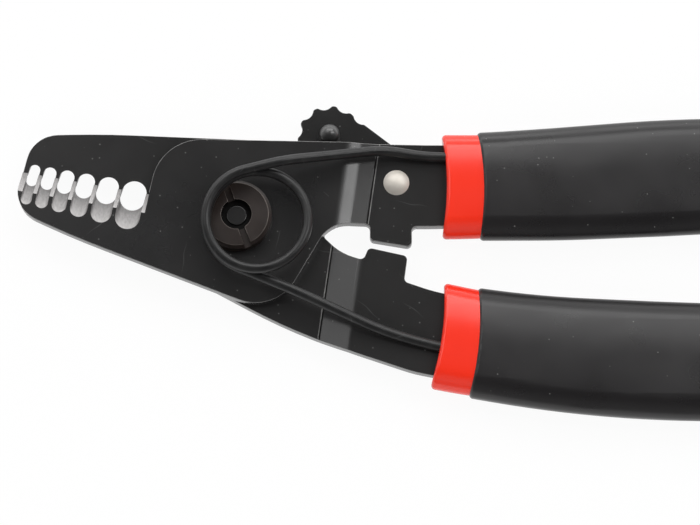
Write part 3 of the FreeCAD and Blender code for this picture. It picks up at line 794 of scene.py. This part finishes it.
def softenForm(piece, sizes):
    # thins the handle towards its sides and dents it a little
    low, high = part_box(sizes["node"])
    middle = (low[2] + high[2]) / 2
    step = softForm["grid"] * mm
    sides = sideLines(piece, sizes["mouth"])
    first, last = min(sides), max(sides)
    for vert in piece.data.vertices:
        count = min(max(math.floor(vert.co.x / step), first), last - 1)
        share = vert.co.x / step - count
        below = sides[count][0] + (sides[count + 1][0] - sides[count][0]) * share
        above = sides[count][1] + (sides[count + 1][1] - sides[count][1]) * share
        across = (2 * vert.co.y - below - above) / max(above - below, softForm["narrowest"] * mm)
        bow = (min(1.0, max(-1.0, across)) + sizes["lean"]) / (1.0 + sizes["lean"])
        behind = (vert.co.x / mm - sizes["mouth"]) / softForm["dentStart"]
        grown = min(1.0, max(0.0, behind))
        dent = 0.5 + 0.5 * noise.noise(vert.co / (softForm["dentSize"] * mm))
        thinner = sizes["crown"] * bow ** 2 + sizes["dent"] * grown * dent
        vert.co.z = middle + (vert.co.z - middle) * (1.0 - thinner)


def makeHandle(name, sizes):
    piece = cadCopy(sizes["node"], name, (sizes["finish"],))
    flattenFaces()
    cutGrid(sizes["node"])
    softenForm(piece, sizes)
    smoothFaces(piece, softForm["smooth"])
    placePiece(piece, sizes["node"])


for handleName, handleSizes in handles.items():
    makeHandle(handleName, handleSizes)


# floor, light and camera

# heights in the room are the Z of a direction, places from front to back its Y
studio = {
    "floorSize": 20.0,                      # metres
    "floorDrop": 0.02,                      # millimetres below the tool
    "floorColour": (0.95, 0.95, 0.95, 1.0),
    "floorRough": 0.9,
    "floorWhite": 0.94,                     # share of plain white; the rest takes the shadow
    "walls": 0.65,                          # brightness of the room up to the height wallTop
    "wallTop": 0.35,
    "ceiling": 0.1,                         # and above the height ceilingLow
    "ceilingLow": 0.8,
    "front": 0.4,                           # how bright the front of the room is against its back
    "frontAt": -0.6,
    "backAt": 0.2,
    "horizon": 2.4,                         # pale sweep low behind the tool, up to horizonTop
    "horizonTop": 0.38,
    "sweepFrom": 0.1,                       # the sweep grows from here to the back
    "sweepFull": 0.6,
}
lamps = {                                   # places and sizes in metres, power in watts
    "backBox": {"place": (0.03, 0.6, 0.64), "size": (1.1, 0.5), "power": 5.0},
    "rightStrip": {"place": (0.515, 0.145, 0.745), "size": (0.14, 0.5), "power": 1.45},
    "topBox": {"place": (0.285, 0.175, 0.85), "size": (0.2, 0.4), "power": 0.1},
    "leftBox": {"place": (-0.42, 0.25, 0.77), "size": (0.25, 0.6), "power": 0.72},
    "frontFill": {"place": (0.06, -0.6, 0.45), "size": (0.9, 0.5), "power": 2.7,
                  "shine": False},
}
shot = {
    "target": (22.62, -8.59, 4.5),
    "distance": 650.0,
    "elevation": 76.0,
    "lens": 167.14,
    "nearest": 10.0,
}


def makeFloor():
    bpy.ops.object.select_all(action="DESELECT")
    bpy.ops.mesh.primitive_plane_add(
        size=studio["floorSize"], location=(0, 0, -studio["floorDrop"] * mm))
    floor = bpy.context.object
    floor.name = "floor"
    bpy.ops.object.transform_apply(location=True)
    material = bpy.data.materials.new("paleFloor")
    material.use_nodes = True
    tree = material.node_tree
    shader = tree.nodes["Principled BSDF"]
    shader.inputs["Base Color"].default_value = studio["floorColour"]
    shader.inputs["Roughness"].default_value = studio["floorRough"]
    path = addNode(tree, "ShaderNodeLightPath")
    seen = addNode(tree, "ShaderNodeMath", operation="MAXIMUM")
    shown = addNode(tree, "ShaderNodeMath", operation="MAXIMUM")
    share = addNode(tree, "ShaderNodeMath", {1: studio["floorWhite"]}, operation="MULTIPLY")
    white = addNode(tree, "ShaderNodeEmission",
                    {"Color": (1.0, 1.0, 1.0, 1.0), "Strength": 1.0})
    mix = addNode(tree, "ShaderNodeMixShader")
    join(tree, path.outputs["Is Camera Ray"], seen.inputs[0])
    join(tree, path.outputs["Is Glossy Ray"], seen.inputs[1])
    join(tree, seen.outputs["Value"], shown.inputs[0])
    join(tree, path.outputs["Is Transmission Ray"], shown.inputs[1])
    join(tree, shown.outputs["Value"], share.inputs[0])
    join(tree, share.outputs["Value"], mix.inputs["Fac"])
    join(tree, shader.outputs["BSDF"], mix.inputs[1])
    join(tree, white.outputs["Emission"], mix.inputs[2])
    join(tree, mix.outputs["Shader"], tree.nodes["Material Output"].inputs["Surface"])
    floor.data.materials.append(material)


def makeRoom():
    # pale walls under a darker ceiling, brighter behind the tool than in front of it
    world = bpy.data.worlds.new("studio")
    bpy.context.scene.world = world
    world.use_nodes = True
    tree = world.node_tree
    coords = addNode(tree, "ShaderNodeTexCoord")
    split = addNode(tree, "ShaderNodeSeparateXYZ")
    fade = addNode(tree, "ShaderNodeMapRange", {
        "From Min": studio["wallTop"], "From Max": studio["ceilingLow"],
        "To Min": studio["walls"], "To Max": studio["ceiling"],
    }, interpolation_type="SMOOTHSTEP")
    sides = addNode(tree, "ShaderNodeMapRange", {
        "From Min": studio["frontAt"], "From Max": studio["backAt"],
        "To Min": studio["front"], "To Max": 1.0,
    }, interpolation_type="SMOOTHSTEP")
    glow = addNode(tree, "ShaderNodeMapRange", {
        "From Min": 0.0, "From Max": studio["horizonTop"],
        "To Min": studio["horizon"], "To Max": 0.0,
    }, interpolation_type="SMOOTHSTEP")
    behind = addNode(tree, "ShaderNodeMapRange", {
        "From Min": studio["sweepFrom"], "From Max": studio["sweepFull"],
    }, interpolation_type="SMOOTHSTEP")
    room = addNode(tree, "ShaderNodeMath", operation="MULTIPLY")
    sweep = addNode(tree, "ShaderNodeMath", operation="MULTIPLY")
    both = addNode(tree, "ShaderNodeMath", operation="ADD")
    join(tree, coords.outputs["Generated"], split.inputs["Vector"])
    join(tree, split.outputs["Z"], fade.inputs["Value"])
    join(tree, split.outputs["Y"], sides.inputs["Value"])
    join(tree, split.outputs["Z"], glow.inputs["Value"])
    join(tree, split.outputs["Y"], behind.inputs["Value"])
    join(tree, fade.outputs["Result"], room.inputs[0])
    join(tree, sides.outputs["Result"], room.inputs[1])
    join(tree, glow.outputs["Result"], sweep.inputs[0])
    join(tree, behind.outputs["Result"], sweep.inputs[1])
    join(tree, room.outputs["Value"], both.inputs[0])
    join(tree, sweep.outputs["Value"], both.inputs[1])
    join(tree, both.outputs["Value"], tree.nodes["Background"].inputs["Color"])


def makeLights():
    for name, lamp in lamps.items():
        place = Vector(lamp["place"])
        turn = (Vector(shot["target"]) * mm - place).to_track_quat("-Z", "Y").to_euler()
        bpy.ops.object.light_add(type="AREA", location=place, rotation=turn)
        made = bpy.context.object
        made.name = name
        made.data.shape = "RECTANGLE"
        made.data.size, made.data.size_y = lamp["size"]
        made.data.energy = lamp["power"]
        made.visible_glossy = lamp.get("shine", True)   # a fill has no reflection of its own


def makeCamera():
    rise = math.radians(shot["elevation"])
    back = Vector((0.0, -math.cos(rise), math.sin(rise))) * shot["distance"]
    place = (Vector(shot["target"]) + back) * mm
    bpy.ops.object.camera_add(location=place, rotation=(math.radians(90.0) - rise, 0.0, 0.0))
    camera = bpy.context.object
    camera.data.lens = shot["lens"]
    camera.data.clip_start = shot["nearest"] * mm
    bpy.context.scene.camera = camera


makeFloor()
makeRoom()
makeLights()
makeCamera()
bpy.context.scene.view_settings.view_transform = "Standard"
print("studio made")
